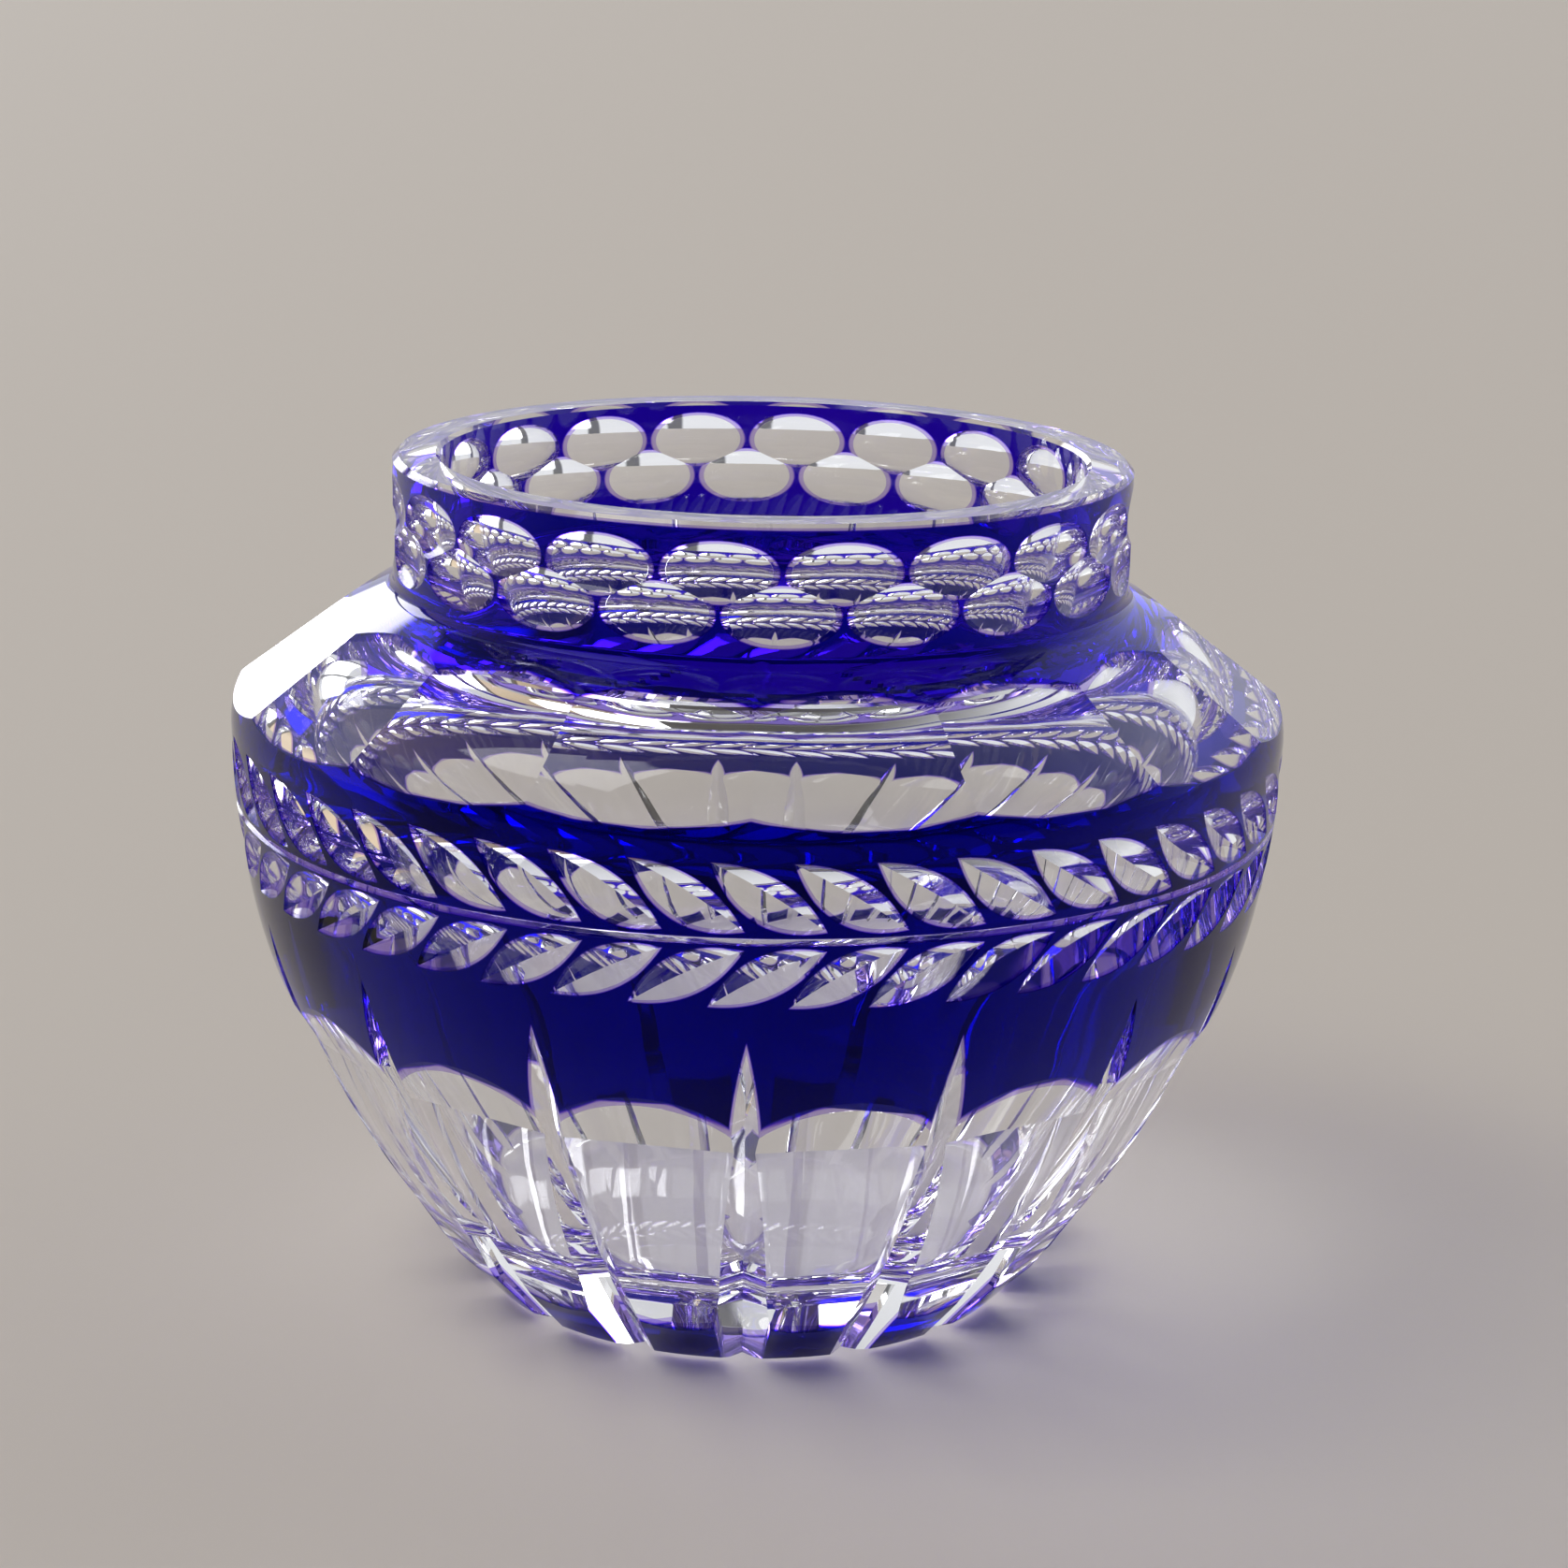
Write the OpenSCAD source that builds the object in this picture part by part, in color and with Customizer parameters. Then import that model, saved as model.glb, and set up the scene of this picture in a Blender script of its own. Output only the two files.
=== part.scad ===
// Cut crystal vase: a clear crystal vessel cased in cobalt glass, cut through the casing to clear.
// The axis is Z, the base stands on z = 0, and the front of the pattern faces -Y.

/* [Vessel] */
// Diameter at the girdle, the widest place
girdle_d = 220; // [200:1:264]
// Diameter of the base
base_d = 114; // [95:1:137]
// Outer diameter of the neck and rim
rim_d = 153; // [140:1:160]
// Height of the girdle above the base
belly_h = 122.5; // [110:0.5:147]
// Height of the straight neck above its cove
neck_h = 25.4; // [21:0.2:30]
// Radius of the round between the girdle and the shoulder
shoulder_r = 18; // [15.5:0.5:21]
// Slope of the shoulder, in degrees from level
shoulder_slope = 26; // [24:0.5:29]
// Radius of the cove between the shoulder and the neck
cove_r = 3; // [2.5:0.1:3.6]
// Thickness of the whole wall
wall = 9.6; // [8:0.2:11.5]
// Thickness of the floor at its middle
floor_t = 18; // [15:0.5:22]
// Radius of the dished inside of the floor
floor_r = 130; // [110:5:156]
// Thickness of the cobalt casing
casing = 0.5; // [0.4:0.05:0.6]
// Bevel on the outer edge of the rim
rim_bevel = 1.2; // [0.9:0.1:1.5]
// Bevel on the inner edge of the rim
lip_bevel = 0.8; // [0.5:0.1:1.2]
// Width of the polished bevel round the base
base_bevel = 1.6; // [1.3:0.1:2]
// Slope of the base bevel, in degrees from level
base_bevel_slope = 20; // [15:1:25]

/* [Neck ovals] */
// Ovals in each of the two rows
oval_count = 20; // [16:1:22]
// Height of an oval
oval_h = 12.4; // [11.8:0.2:13]
// Depth of an oval at its middle
oval_depth = 2.2; // [2:0.1:2.6]
// Cobalt left between the tips of neighbouring ovals
oval_gap = 0.6; // [0.5:0.1:1]
// Middle of the upper row below the rim
upper_oval_drop = 9.5; // [9:0.1:10.5]
// Middle of the lower row below the middle of the upper row
oval_row_step = 8.2; // [7.6:0.1:9]
// Angle of the lower row's first oval from the front
oval_phase = 3.5; // [0:0.5:17]

/* [Shoulder facets] */
// Flat facets round the shoulder
facet_count = 16; // [14:1:18]
// Lowest point of a facet above the girdle
facet_foot = 4.7; // [4:0.1:5.5]
// Highest point of a facet above the girdle
facet_top = 25; // [23.5:0.1:25.5]

/* [Leaf garland] */
// Leaves in each of the two rows
leaf_count = 45; // [40:1:48]
// Depth of a leaf at its middle
leaf_depth = 3; // [2.7:0.1:3.3]
// Width of the cobalt left between neighbouring leaves
leaf_gap = 0.6; // [0.5:0.05:1]
// Share of a leaf's width above its vein
leaf_upper_share = 0.42; // [0.35:0.01:0.5]
// Height of an upper leaf, from its stem end to its tip
upper_leaf_rise = 13.6; // [12:0.2:14.4]
// Height of a lower leaf, from its stem end to its tip
lower_leaf_rise = 12; // [10.5:0.5:13]
// Length of a leaf round the vase, in leaf pitches
leaf_span = 1.45; // [1.3:0.05:1.5]
// Angle of an upper leaf's middle from the front
leaf_phase = 1.9; // [0:0.1:8]
// Width of the stem groove
stem_w = 1.6; // [1.4:0.1:2]
// Depth of the stem groove
stem_depth = 1.2; // [1:0.1:1.5]
// Cobalt left between the stem groove and the leaves
stem_gap = 0.9; // [0.7:0.1:1.2]

/* [Panels and mitres] */
// Panels round the belly, with a mitre between each two
panel_count = 16; // [14:1:18]
// Top of a panel above the base
panel_top = 73; // [70:0.5:75]
// Height of the crease between a panel's flat top and its long face
crease_z = 59; // [56:0.5:61]
// Depth of a panel at its crease
crease_depth = 3.4; // [3:0.1:3.8]
// Height of the ridge at the foot of the panels
ridge_z = 20; // [18:0.5:22]
// Depth of a panel at the ridge
ridge_depth = 2; // [1.7:0.1:2.3]
// Radius of a panel's gentle upright curve
panel_r = 180; // [165:5:220]
// Pointed top of a mitre above the base
mitre_top = 86; // [83:0.5:88]
// Depth of a mitre at the panel crease
mitre_depth = 3.5; // [3.2:0.1:4]
// Depth of a mitre at the base
mitre_foot_depth = 3.2; // [2.8:0.1:3.6]
// Half the angle of a mitre's V
mitre_angle = 55; // [50:1:58]
// Top of the cobalt foot band above the base
foot_band_z = 9; // [8:0.5:10]

/* [Hidden] */
$fn = 256;
cobalt = [0.08, 0.02, 0.62, 0.9];
crystal = [0.86, 0.9, 0.94, 0.55];
over = 2;
tool_clear = 0.6;
girdle_r = girdle_d / 2;
rim_r = rim_d / 2;
base_r = base_d / 2;

function unit(v) = v / norm(v);
function across(v) = [v[1], -v[0]];

// Outward direction at q, where the line from p turns towards s, long enough to offset both lines alike
function corner_n(p, q, s) =
    let (
        a = across(unit(q - p)),
        b = across(unit(s - q))
    )
    (a + b) / (1 + a * b);

// The belly follows one arc from the base edge, upright where it meets the girdle
belly_r = (pow(girdle_r - base_r, 2) + pow(belly_h, 2)) / (2 * (girdle_r - base_r));
belly_c = [girdle_r - belly_r, belly_h];
function belly_x(z) = belly_c[0] + sqrt(pow(belly_r, 2) - pow(belly_h - z, 2));
function belly_p(z) = [belly_x(z), z];
function belly_n(z) = unit(belly_p(z) - belly_c);
function sunk(z, depth) = belly_p(z) - depth * belly_n(z);

// Heights on the belly: the stem, the lower edge of the garland, the foot's split and the waist
stem_z = belly_h - tool_clear - upper_leaf_rise - stem_gap - stem_w / 2;
garland_z = stem_z - stem_w / 2 - stem_gap - lower_leaf_rise - over;
foot_split_z = (foot_band_z + ridge_z) / 2;
waist_z = (foot_split_z + crease_z) / 2;

// The garland lies on four straight bands, two above the stem and two below
girdle_p = [girdle_r, belly_h];
upper_p = belly_p((belly_h + stem_z) / 2);
stem_p = belly_p(stem_z);
lower_p = belly_p((stem_z + garland_z) / 2);
garland_p = belly_p(garland_z);
upper_n = across(unit(girdle_p - upper_p));
lower_n = across(unit(lower_p - garland_p));
stem_n = corner_n(lower_p, stem_p, upper_p);

// Below the garland the belly is part of a ball that the lower band touches
ball_r = garland_p[0] / lower_n[0];
ball_c = garland_p - ball_r * lower_n;
ball_n = unit([sqrt(pow(ball_r, 2) - pow(crease_z - ball_c[1], 2)), crease_z - ball_c[1]]);

// The round shoulder, its slope and the cove below the neck
shoulder_c = girdle_p - shoulder_r * upper_n;
shoulder_n = [sin(shoulder_slope), cos(shoulder_slope)];
shoulder_p = shoulder_c + shoulder_r * shoulder_n;
cove_x = rim_r + cove_r;
cove_z = shoulder_p[1] + (cove_r - shoulder_n[0] * (cove_x - shoulder_p[0])) / shoulder_n[1];
cove_c = [cove_x, cove_z];
function shoulder_x(z) = z < shoulder_p[1]
    ? shoulder_c[0] + sqrt(pow(shoulder_r, 2) - pow(z - shoulder_c[1], 2))
    : shoulder_p[0] - (z - shoulder_p[1]) / tan(shoulder_slope);

rim_z = cove_z + neck_h;
upper_oval_z = rim_z - upper_oval_drop;
lower_oval_z = upper_oval_z - oval_row_step;
oval_split_z = (upper_oval_z + lower_oval_z) / 2;
facet_mid_z = belly_h + (facet_foot + facet_top) / 2;
panel_pitch = 360 / panel_count;

// Radius of an arc from its chord and its rise, and the centre of an arc through two points
function arc_r(chord, rise) = (pow(chord / 2, 2) + pow(rise, 2)) / (2 * rise);
function arc_c(p, q, r) =
    (p + q) / 2 + across(unit(q - p)) * sqrt(pow(r, 2) - pow(norm(q - p) / 2, 2));
function circle_c(p, q, s) =
    let (
        a = q - p,
        b = s - p,
        d = 2 * (a[0] * b[1] - a[1] * b[0])
    )
    p + [b[1] * (a * a) - a[1] * (b * b), a[0] * (b * b) - b[0] * (a * a)] / d;

function foot_name(i) = str("foot_overlay_", i < 10 ? "0" : "", i);

// Half section of the solid vessel, drawn in by inset on its outside
module outline_2d(inset) {
    foot = sunk(0, inset);
    foot_top = sunk(foot_split_z, inset);
    foot_end = foot + unit(foot - foot_top) * over;
    ball_start = ball_c + (ball_r - inset) * ball_n;
    ball_end = garland_p - inset * lower_n;
    round_start = girdle_p - inset * upper_n;
    slope_start = shoulder_c + (shoulder_r - inset) * shoulder_n;
    slope_end = cove_c - (cove_r + inset) * shoulder_n;
    neck_r = rim_r - inset;
    difference() {
        union() {
            polygon([
                [0, foot_end[1]], foot_end, foot_top, sunk(waist_z, inset), ball_start, ball_end,
                lower_p - inset * corner_n(garland_p, lower_p, stem_p),
                stem_p - inset * stem_n,
                upper_p - inset * corner_n(stem_p, upper_p, girdle_p),
                round_start, shoulder_c, slope_start, slope_end, cove_c,
                [neck_r, cove_z], [neck_r, rim_z], [0, rim_z]
            ]);
            intersection() {
                translate(ball_c) circle(r = ball_r - inset);
                translate([base_r / 2, ball_start[1]]) square([girdle_r, ball_end[1] - ball_start[1]]);
            }
            intersection() {
                translate(shoulder_c) circle(r = shoulder_r - inset);
                translate([rim_r / 2, round_start[1]]) square([girdle_r, shoulder_r]);
            }
        }
        translate(cove_c) circle(r = cove_r + inset);
    }
}

module vessel_2d(inset) {
    base_slope = tan(base_bevel_slope);
    difference() {
        outline_2d(inset);
        translate([-over, -2 * over]) square([girdle_r, 2 * over]);
        polygon([
            [rim_r - rim_bevel - over, rim_z + over],
            [rim_r + over, rim_z - rim_bevel - over],
            [rim_r + over, rim_z + over]
        ]);
        polygon([
            [base_r - base_bevel - over, -over * base_slope],
            [base_r + over, (base_bevel + over) * base_slope],
            [base_r + over, -over]
        ]);
    }
}

// Half section of the inside, with its dished floor
module cavity_2d() {
    neck_r = rim_r - wall;
    dish_z = floor_t + floor_r;
    intersection() {
        union() {
            outline_2d(wall);
            polygon([
                [0, rim_z - lip_bevel - over], [neck_r - over, rim_z - lip_bevel - over],
                [neck_r + lip_bevel + over, rim_z + over], [0, rim_z + over]
            ]);
        }
        union() {
            translate([0, dish_z]) circle(r = floor_r);
            translate([-over, dish_z]) square([girdle_r, rim_z]);
        }
    }
}

// Half section of the casing between two heights
module casing_2d(low, high) {
    intersection() {
        difference() {
            vessel_2d(0);
            vessel_2d(casing);
        }
        translate([0, low]) square([girdle_r + over, high - low]);
    }
}

// Cuts children(1) into children(0) at count places round the axis, the first one phase from the front.
// Wide cuts are made in several turns, so that no two neighbours go in together.
module cut_round(count, phase = 0, turns = 1, turn = 0) {
    if (turn == turns) {
        children(0);
    } else {
        difference() {
            cut_round(count, phase, turns, turn + 1) {
                children(0);
                children(1);
            }
            for (i = [turn : turns : count - 1])
                rotate([0, 0, phase - 90 + i * 360 / count]) children(1);
        }
    }
}

// Each tool below stands at the +X side, as the wheel that grinds that cut

// A wheel with a round edge, level, for one oval of the neck
module oval_tool(z) {
    chord = 2 * rim_r * sin(180 / oval_count) - oval_gap;
    neck_rise = rim_r - sqrt(pow(rim_r, 2) - pow(chord / 2, 2));
    wheel_r = arc_r(chord, oval_depth - neck_rise);
    edge_r = arc_r(oval_h, oval_depth);
    reach = asin((chord + oval_gap / 2) / 2 / wheel_r);
    edge_w = oval_depth + over;
    translate([rim_r - oval_depth + wheel_r, 0, z])
        rotate([0, 0, 180 - reach])
            rotate_extrude(angle = 2 * reach)
                intersection() {
                    translate([wheel_r - edge_r, 0]) circle(r = edge_r);
                    translate([wheel_r - edge_w, -edge_r]) square([edge_w + over, 2 * edge_r]);
                }
}

// A flat lap laid on the slope, for one facet of the shoulder
module facet_tool() {
    low_z = belly_h + facet_foot;
    high_z = belly_h + facet_top;
    low = [shoulder_x(low_z), low_z];
    high = [shoulder_x(high_z), high_z];
    along = unit(high - low) * over;
    lift = across(unit(high - low)) * shoulder_r / 3;
    facet_w = 2 * girdle_r * tan(180 / facet_count) + over;
    rotate([90, 0, 0])
        linear_extrude(facet_w, center = true)
            polygon([low - along, high + along, high + along + lift, low - along + lift]);
}

// A wheel with a V edge, tilted along a leaf. side is 1 for the upper row and -1 for the lower.
module leaf_tool(rise, side) {
    pitch = PI * girdle_d / leaf_count;
    run = leaf_span * pitch;
    tilt = atan(rise / run);
    length = norm([run, rise]);
    nest = 1 - pow(pitch * cos(tilt) / length, 2);
    width = (pitch * sin(tilt) - leaf_gap) / nest;
    middle = belly_p(stem_z + side * (stem_w / 2 + stem_gap + rise / 2));
    facing = belly_n(middle[1]);
    bend = pow(cos(tilt), 2) * facing[0] / middle[0] + pow(sin(tilt), 2) / belly_r;
    wheel_r = arc_r(length, leaf_depth - bend * pow(length, 2) / 8);
    reach = asin((length / 2 + tool_clear) / wheel_r);
    far_w = width + leaf_gap / 2;
    edge_w = leaf_depth * far_w / width;
    translate([middle[0], 0, middle[1]])
        rotate([0, -asin(facing[1]), 0])
            rotate([-side * tilt, 0, 0])
                translate([wheel_r - leaf_depth, 0, 0])
                    rotate([0, 0, 180 - reach])
                        rotate_extrude(angle = 2 * reach)
                            polygon([
                                [wheel_r, 0],
                                [wheel_r - edge_w, side * far_w * leaf_upper_share],
                                [wheel_r - edge_w, side * far_w * (leaf_upper_share - 1)]
                            ]);
}

// A thin V wheel run all the way round, for the stem between the leaves
module stem_tool() {
    out = unit(stem_n);
    edge_w = stem_depth + tool_clear;
    side = across(out) * edge_w * stem_w / 2 / stem_depth;
    apex = stem_p - stem_depth * out;
    rotate_extrude() polygon([apex, apex + out * edge_w + side, apex + out * edge_w - side]);
}

// One panel: a flat top, a gently curved flat from the crease to the ridge, and a bevel to the foot band
module panel_tool() {
    top = belly_p(panel_top);
    crease = sunk(crease_z, crease_depth);
    ridge = sunk(ridge_z, ridge_depth);
    foot = belly_p(foot_band_z);
    out = across(unit(top - foot)) * 4 * over;
    panel_w = 2 * girdle_r * tan(180 / panel_count);
    rotate([90, 0, 0])
        linear_extrude(panel_w, center = true)
            difference() {
                polygon([
                    foot + unit(foot - ridge) * over, ridge, crease,
                    top + unit(top - crease) * over, top + out, foot + out
                ]);
                translate(arc_c(crease, ridge, panel_r)) circle(r = panel_r);
            }
}

// A V wheel swept down from the pointed top of a mitre to the base
module mitre_tool() {
    top = belly_p(mitre_top);
    foot = sunk(0, mitre_foot_depth);
    centre = circle_c(top, sunk(crease_z, mitre_depth), foot);
    valley_r = norm(top - centre);
    top_angle = asin((top[1] - centre[1]) / valley_r);
    foot_angle = asin((foot[1] - centre[1]) / valley_r);
    edge_w = mitre_depth + mitre_foot_depth;
    half_w = edge_w * tan(mitre_angle);
    spare = asin(2 * over / valley_r);
    translate([centre[0], 0, centre[1]])
        rotate([90, 0, 0])
            rotate([0, 0, foot_angle - spare])
                rotate_extrude(angle = top_angle - foot_angle + 2 * spare)
                    polygon([
                        [valley_r, 0],
                        [valley_r + edge_w, half_w],
                        [valley_r + edge_w, -half_w]
                    ]);
}

// The cuts of one zone, made in children()
module cut_ovals() {
    cut_round(oval_count, oval_phase) {
        cut_round(oval_count, oval_phase + 180 / oval_count) {
            children();
            oval_tool(upper_oval_z);
        }
        oval_tool(lower_oval_z);
    }
}

module cut_facets() {
    cut_round(facet_count, 180 / facet_count, 2) {
        children();
        facet_tool();
    }
}

module cut_leaves(rise, side) {
    cut_round(leaf_count, leaf_phase, 3) {
        children();
        leaf_tool(rise, side);
    }
}

module cut_stem() {
    difference() {
        children();
        stem_tool();
    }
}

module cut_panels() {
    cut_round(panel_count) {
        cut_round(panel_count, panel_pitch / 2, 2) {
            children();
            panel_tool();
        }
        mitre_tool();
    }
}

module crystal_body() {
    color(crystal)
        cut_panels() cut_leaves(lower_leaf_rise, -1) cut_leaves(upper_leaf_rise, 1)
            cut_stem() cut_facets() cut_ovals()
                rotate_extrude() difference() {
                    vessel_2d(casing);
                    cavity_2d();
                }
}

module rim_overlay() {
    color(cobalt) cut_ovals() rotate_extrude() casing_2d(oval_split_z, rim_z + over);
}

module shoulder_overlay() {
    color(cobalt) cut_facets() cut_ovals() rotate_extrude() casing_2d(facet_mid_z, oval_split_z);
}

module upper_garland_overlay() {
    color(cobalt) cut_facets() cut_leaves(upper_leaf_rise, 1) cut_stem()
        rotate_extrude() casing_2d(stem_z, facet_mid_z);
}

module lower_garland_overlay() {
    color(cobalt) cut_panels() cut_leaves(lower_leaf_rise, -1) cut_stem()
        rotate_extrude() casing_2d(crease_z, stem_z);
}

// The casing of the foot band between two mitres
module foot_overlay(i) {
    color(cobalt) rotate([0, 0, (i - 0.5) * panel_pitch - 90]) difference() {
        rotate([0, 0, -panel_pitch / 2])
            rotate_extrude(angle = panel_pitch) casing_2d(-over, foot_split_z);
        panel_tool();
        for (side = [-1, 1]) rotate([0, 0, side * panel_pitch / 2]) mitre_tool();
    }
}

crystal_body();
rim_overlay();
shoulder_overlay();
upper_garland_overlay();
lower_garland_overlay();
for (i = [1 : panel_count]) foot_overlay(i);
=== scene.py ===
"""Cut crystal vase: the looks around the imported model.

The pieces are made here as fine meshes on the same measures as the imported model, because glass shows
every facet. The cobalt casing and the crystal are separate closed pieces. Where they are fused, neither
bends the light: the crystal's face lets it pass, and the casing's inner face tints it.
"""

import functools
import math

import bpy
import numpy as np
from mathutils import Matrix, Vector

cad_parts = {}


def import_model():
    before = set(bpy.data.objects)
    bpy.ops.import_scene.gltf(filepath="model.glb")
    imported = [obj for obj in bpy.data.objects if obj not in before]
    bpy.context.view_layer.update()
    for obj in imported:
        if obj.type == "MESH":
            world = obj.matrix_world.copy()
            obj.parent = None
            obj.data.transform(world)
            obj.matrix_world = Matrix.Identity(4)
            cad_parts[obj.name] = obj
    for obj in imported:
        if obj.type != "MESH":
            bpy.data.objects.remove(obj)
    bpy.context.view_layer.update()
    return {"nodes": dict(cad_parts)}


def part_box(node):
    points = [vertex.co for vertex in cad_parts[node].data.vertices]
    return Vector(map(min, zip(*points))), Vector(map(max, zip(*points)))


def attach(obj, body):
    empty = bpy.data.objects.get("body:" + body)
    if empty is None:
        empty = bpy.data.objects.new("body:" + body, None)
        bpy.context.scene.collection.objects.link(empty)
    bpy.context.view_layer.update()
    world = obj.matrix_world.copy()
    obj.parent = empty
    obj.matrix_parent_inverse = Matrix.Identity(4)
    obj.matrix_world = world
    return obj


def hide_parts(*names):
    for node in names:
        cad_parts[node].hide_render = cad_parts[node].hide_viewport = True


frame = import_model()
scene = bpy.context.scene

# Measures of the vase in millimetres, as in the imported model
GIRDLE_R, BASE_R, RIM_R = 110.0, 57.0, 76.5
BELLY_H, NECK_H = 122.5, 25.4
SHOULDER_R, SHOULDER_SLOPE, COVE_R = 18.0, math.radians(26), 3.0
WALL, FLOOR_T, CASING = 9.6, 18.0, 0.5
RIM_BEVEL, LIP_BEVEL, BASE_BEVEL, BASE_SLOPE = 1.2, 0.8, 1.6, math.tan(math.radians(20))
OVALS, OVAL_H, OVAL_DEPTH, OVAL_GAP = 20, 12.4, 2.2, 0.6
UPPER_OVAL_DROP, OVAL_ROW_STEP, OVAL_PHASE = 9.5, 8.2, 3.5
FACETS, FACET_FOOT, FACET_TOP = 16, 4.7, 25.0
LEAVES, LEAF_DEPTH, LEAF_GAP, LEAF_SHARE = 45, 3.0, 0.6, 0.42
UPPER_RISE, LOWER_RISE, LEAF_SPAN, LEAF_PHASE = 13.6, 12.0, 1.45, 1.9
STEM_W, STEM_DEPTH, STEM_GAP = 1.6, 1.2, 0.9
PANELS, PANEL_TOP, CREASE_Z, CREASE_DEPTH = 16, 73.0, 59.0, 3.4
RIDGE_Z, RIDGE_DEPTH, PANEL_R, FOOT_BAND_Z = 20.0, 2.0, 180.0, 9.0
MITRE_TOP, MITRE_DEPTH, MITRE_FOOT_DEPTH, MITRE_ANGLE = 86.0, 3.5, 3.2, math.radians(55)
OVER, CLEAR = 2.0, 0.6
FACET_TOOL_T, PANEL_TOOL_T = SHOULDER_R / 3, 4 * OVER
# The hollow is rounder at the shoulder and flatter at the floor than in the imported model: what shows
# through the facets and the panels needs it
HOLLOW_FLOOR_R, HOLLOW_CORNER_R = 400.0, 14.0
HOLLOW_SHOULDER_R, HOLLOW_SHOULDER_Z, HOLLOW_COVE_R = 30.0, 104.0, 10.0
SEAM = 0.01  # between the crystal and its casing, so that light meets the two faces in turn
MM = 0.001
ON_AXIS = 1e-6

# Steps round the vase, a whole number for every count in the pattern
ROUND = 720
# Steps along the arcs of the vessel's side, of the hollow and of the tools
BALL_STEPS, SHOULDER_STEPS, COVE_STEPS = 10, 20, 12
FLOOR_STEPS, CORNER_STEPS, WALL_STEPS = 4, 10, 8
HOLLOW_SHOULDER_STEPS, HOLLOW_COVE_STEPS = 16, 13
OVAL_EDGE_STEPS, OVAL_STEPS, LEAF_STEPS, PANEL_STEPS, MITRE_STEPS = 30, 12, 32, 32, 60
EDGE_ANGLE = math.radians(6)  # faces that meet at more than this are shaded as an edge

# Material numbers of a piece: its open faces, and its faces along the seam
OPEN, ALONG_SEAM = 0, 1

# Glass
CRYSTAL, CRYSTAL_SHADOW = (0.985, 0.99, 1.0), (0.97, 0.98, 1.0)
CRYSTAL_IOR = 1.545
POLISH_SCALE, POLISH_DETAIL, POLISH_STRENGTH, POLISH_HEIGHT = 60.0, 1.0, 0.05, 0.001
COBALT = (0.03, 0.004, 0.6)  # what the whole depth of the casing lets through at the neck
BELLY_PAINTED_SHADE = 2.6  # painted shade: how many times as much colour the casing holds at the belly, to make it darker than the backlit shoulder and neck
BELLY_TOP, NECK_FOOT = 0.121, 0.143  # heights between which the painted shade fades out, in metres
CLOUD_SCALE, CLOUD_DETAIL = 14.0, 2.0
CLOUD_RANGE, CLOUD_DEPTH = (0.3, 0.7), (0.88, 1.1)  # noise, and the share of the depth it stands for
COBALT_SEAM = (0.6, 0.5, 0.92)
# Painted reflection: the casing's outside reflections are dimmed and tinted blue, standing in for a darker
# room in front
COBALT_PAINTED_REFLECTION = (0.08, 0.07, 0.4)
EDGE_FADE = 8.0  # the colour thins faster than the casing towards the edge of a cut
GLASS_BOUNCES = 32  # light crosses many faces on its way through cut glass
DEPTH = "casing_left"  # attribute: the share of the casing's depth that is left under a point

# Floor, light and camera
FLOOR_SIDES, FLOOR_RADIUS, FLOOR_DROP = 96, 12, 0.0002
FLOOR_COLOUR, FLOOR_ROUGHNESS = (0.67, 0.62, 0.57), 0.9
# Directions in degrees to the right of straight behind the vase, and heights in degrees
PANES = [  # left, right, low, high and strength: two of the window and the softbox
    (-52, -34, 6, 24, 7.0),
    (-29, -11, 6, 24, 7.0),
    (-135, -85, 38, 72, 3.5),
]
FRAMES = [(-57, -53), (-33, -30), (-10, -7)]
FRAME_SHADE = 0.2
CURTAIN, CURTAIN_COLOUR = (-95, -57), (0.85, 0.68, 0.48)
PANE_SIDE_BLUR, PANE_END_BLUR, FRAME_BLUR, CURTAIN_BLUR = 2, 3, 1, 4
ROOM_FRONT, ROOM_BACK = (0.17, 0.16, 0.15), (0.86, 0.87, 0.89)
FRONT_END, BACK_START = 0.25, 0.7  # shares of the way from the front wall to the back wall
CEILING, CEILING_START = 0.3, 0.3  # share of the wall's light straight above, and where it starts to fall
LENS, SENSOR = 81.6, 36
CAMERA_PLACE = (0.0058, -0.7279, 0.3053)
CAMERA_TILT, CAMERA_ROLL = math.radians(90 - 15.238), math.radians(1.358)


def vec(x, z):
    return Vector((x, z))


def across(v):
    return vec(v.y, -v.x)


def line_n(p, q):
    return across((q - p).normalized())


def corner_n(p, q, s):
    a, b = line_n(p, q), line_n(q, s)
    return (a + b) / (1 + a.dot(b))


def arc_r(chord, rise):
    return (chord ** 2 / 4 + rise ** 2) / (2 * rise)


def arc_c(p, q, r):
    return (p + q) / 2 + line_n(p, q) * math.sqrt(r ** 2 - (q - p).length_squared / 4)


def circle_c(p, q, s):
    a, b = q - p, s - p
    d = 2 * (a.x * b.y - a.y * b.x)
    return p + vec(b.y * a.dot(a) - a.y * b.dot(b), a.x * b.dot(b) - b.x * a.dot(a)) / d


# The belly follows one arc; the garland lies on straight bands along it
BELLY_R = ((GIRDLE_R - BASE_R) ** 2 + BELLY_H ** 2) / (2 * (GIRDLE_R - BASE_R))
BELLY_C = vec(GIRDLE_R - BELLY_R, BELLY_H)


def belly_p(z):
    return vec(BELLY_C.x + math.sqrt(BELLY_R ** 2 - (BELLY_H - z) ** 2), z)


def belly_n(z):
    return (belly_p(z) - BELLY_C).normalized()


def sunk(z, depth):
    return belly_p(z) - depth * belly_n(z)


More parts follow.
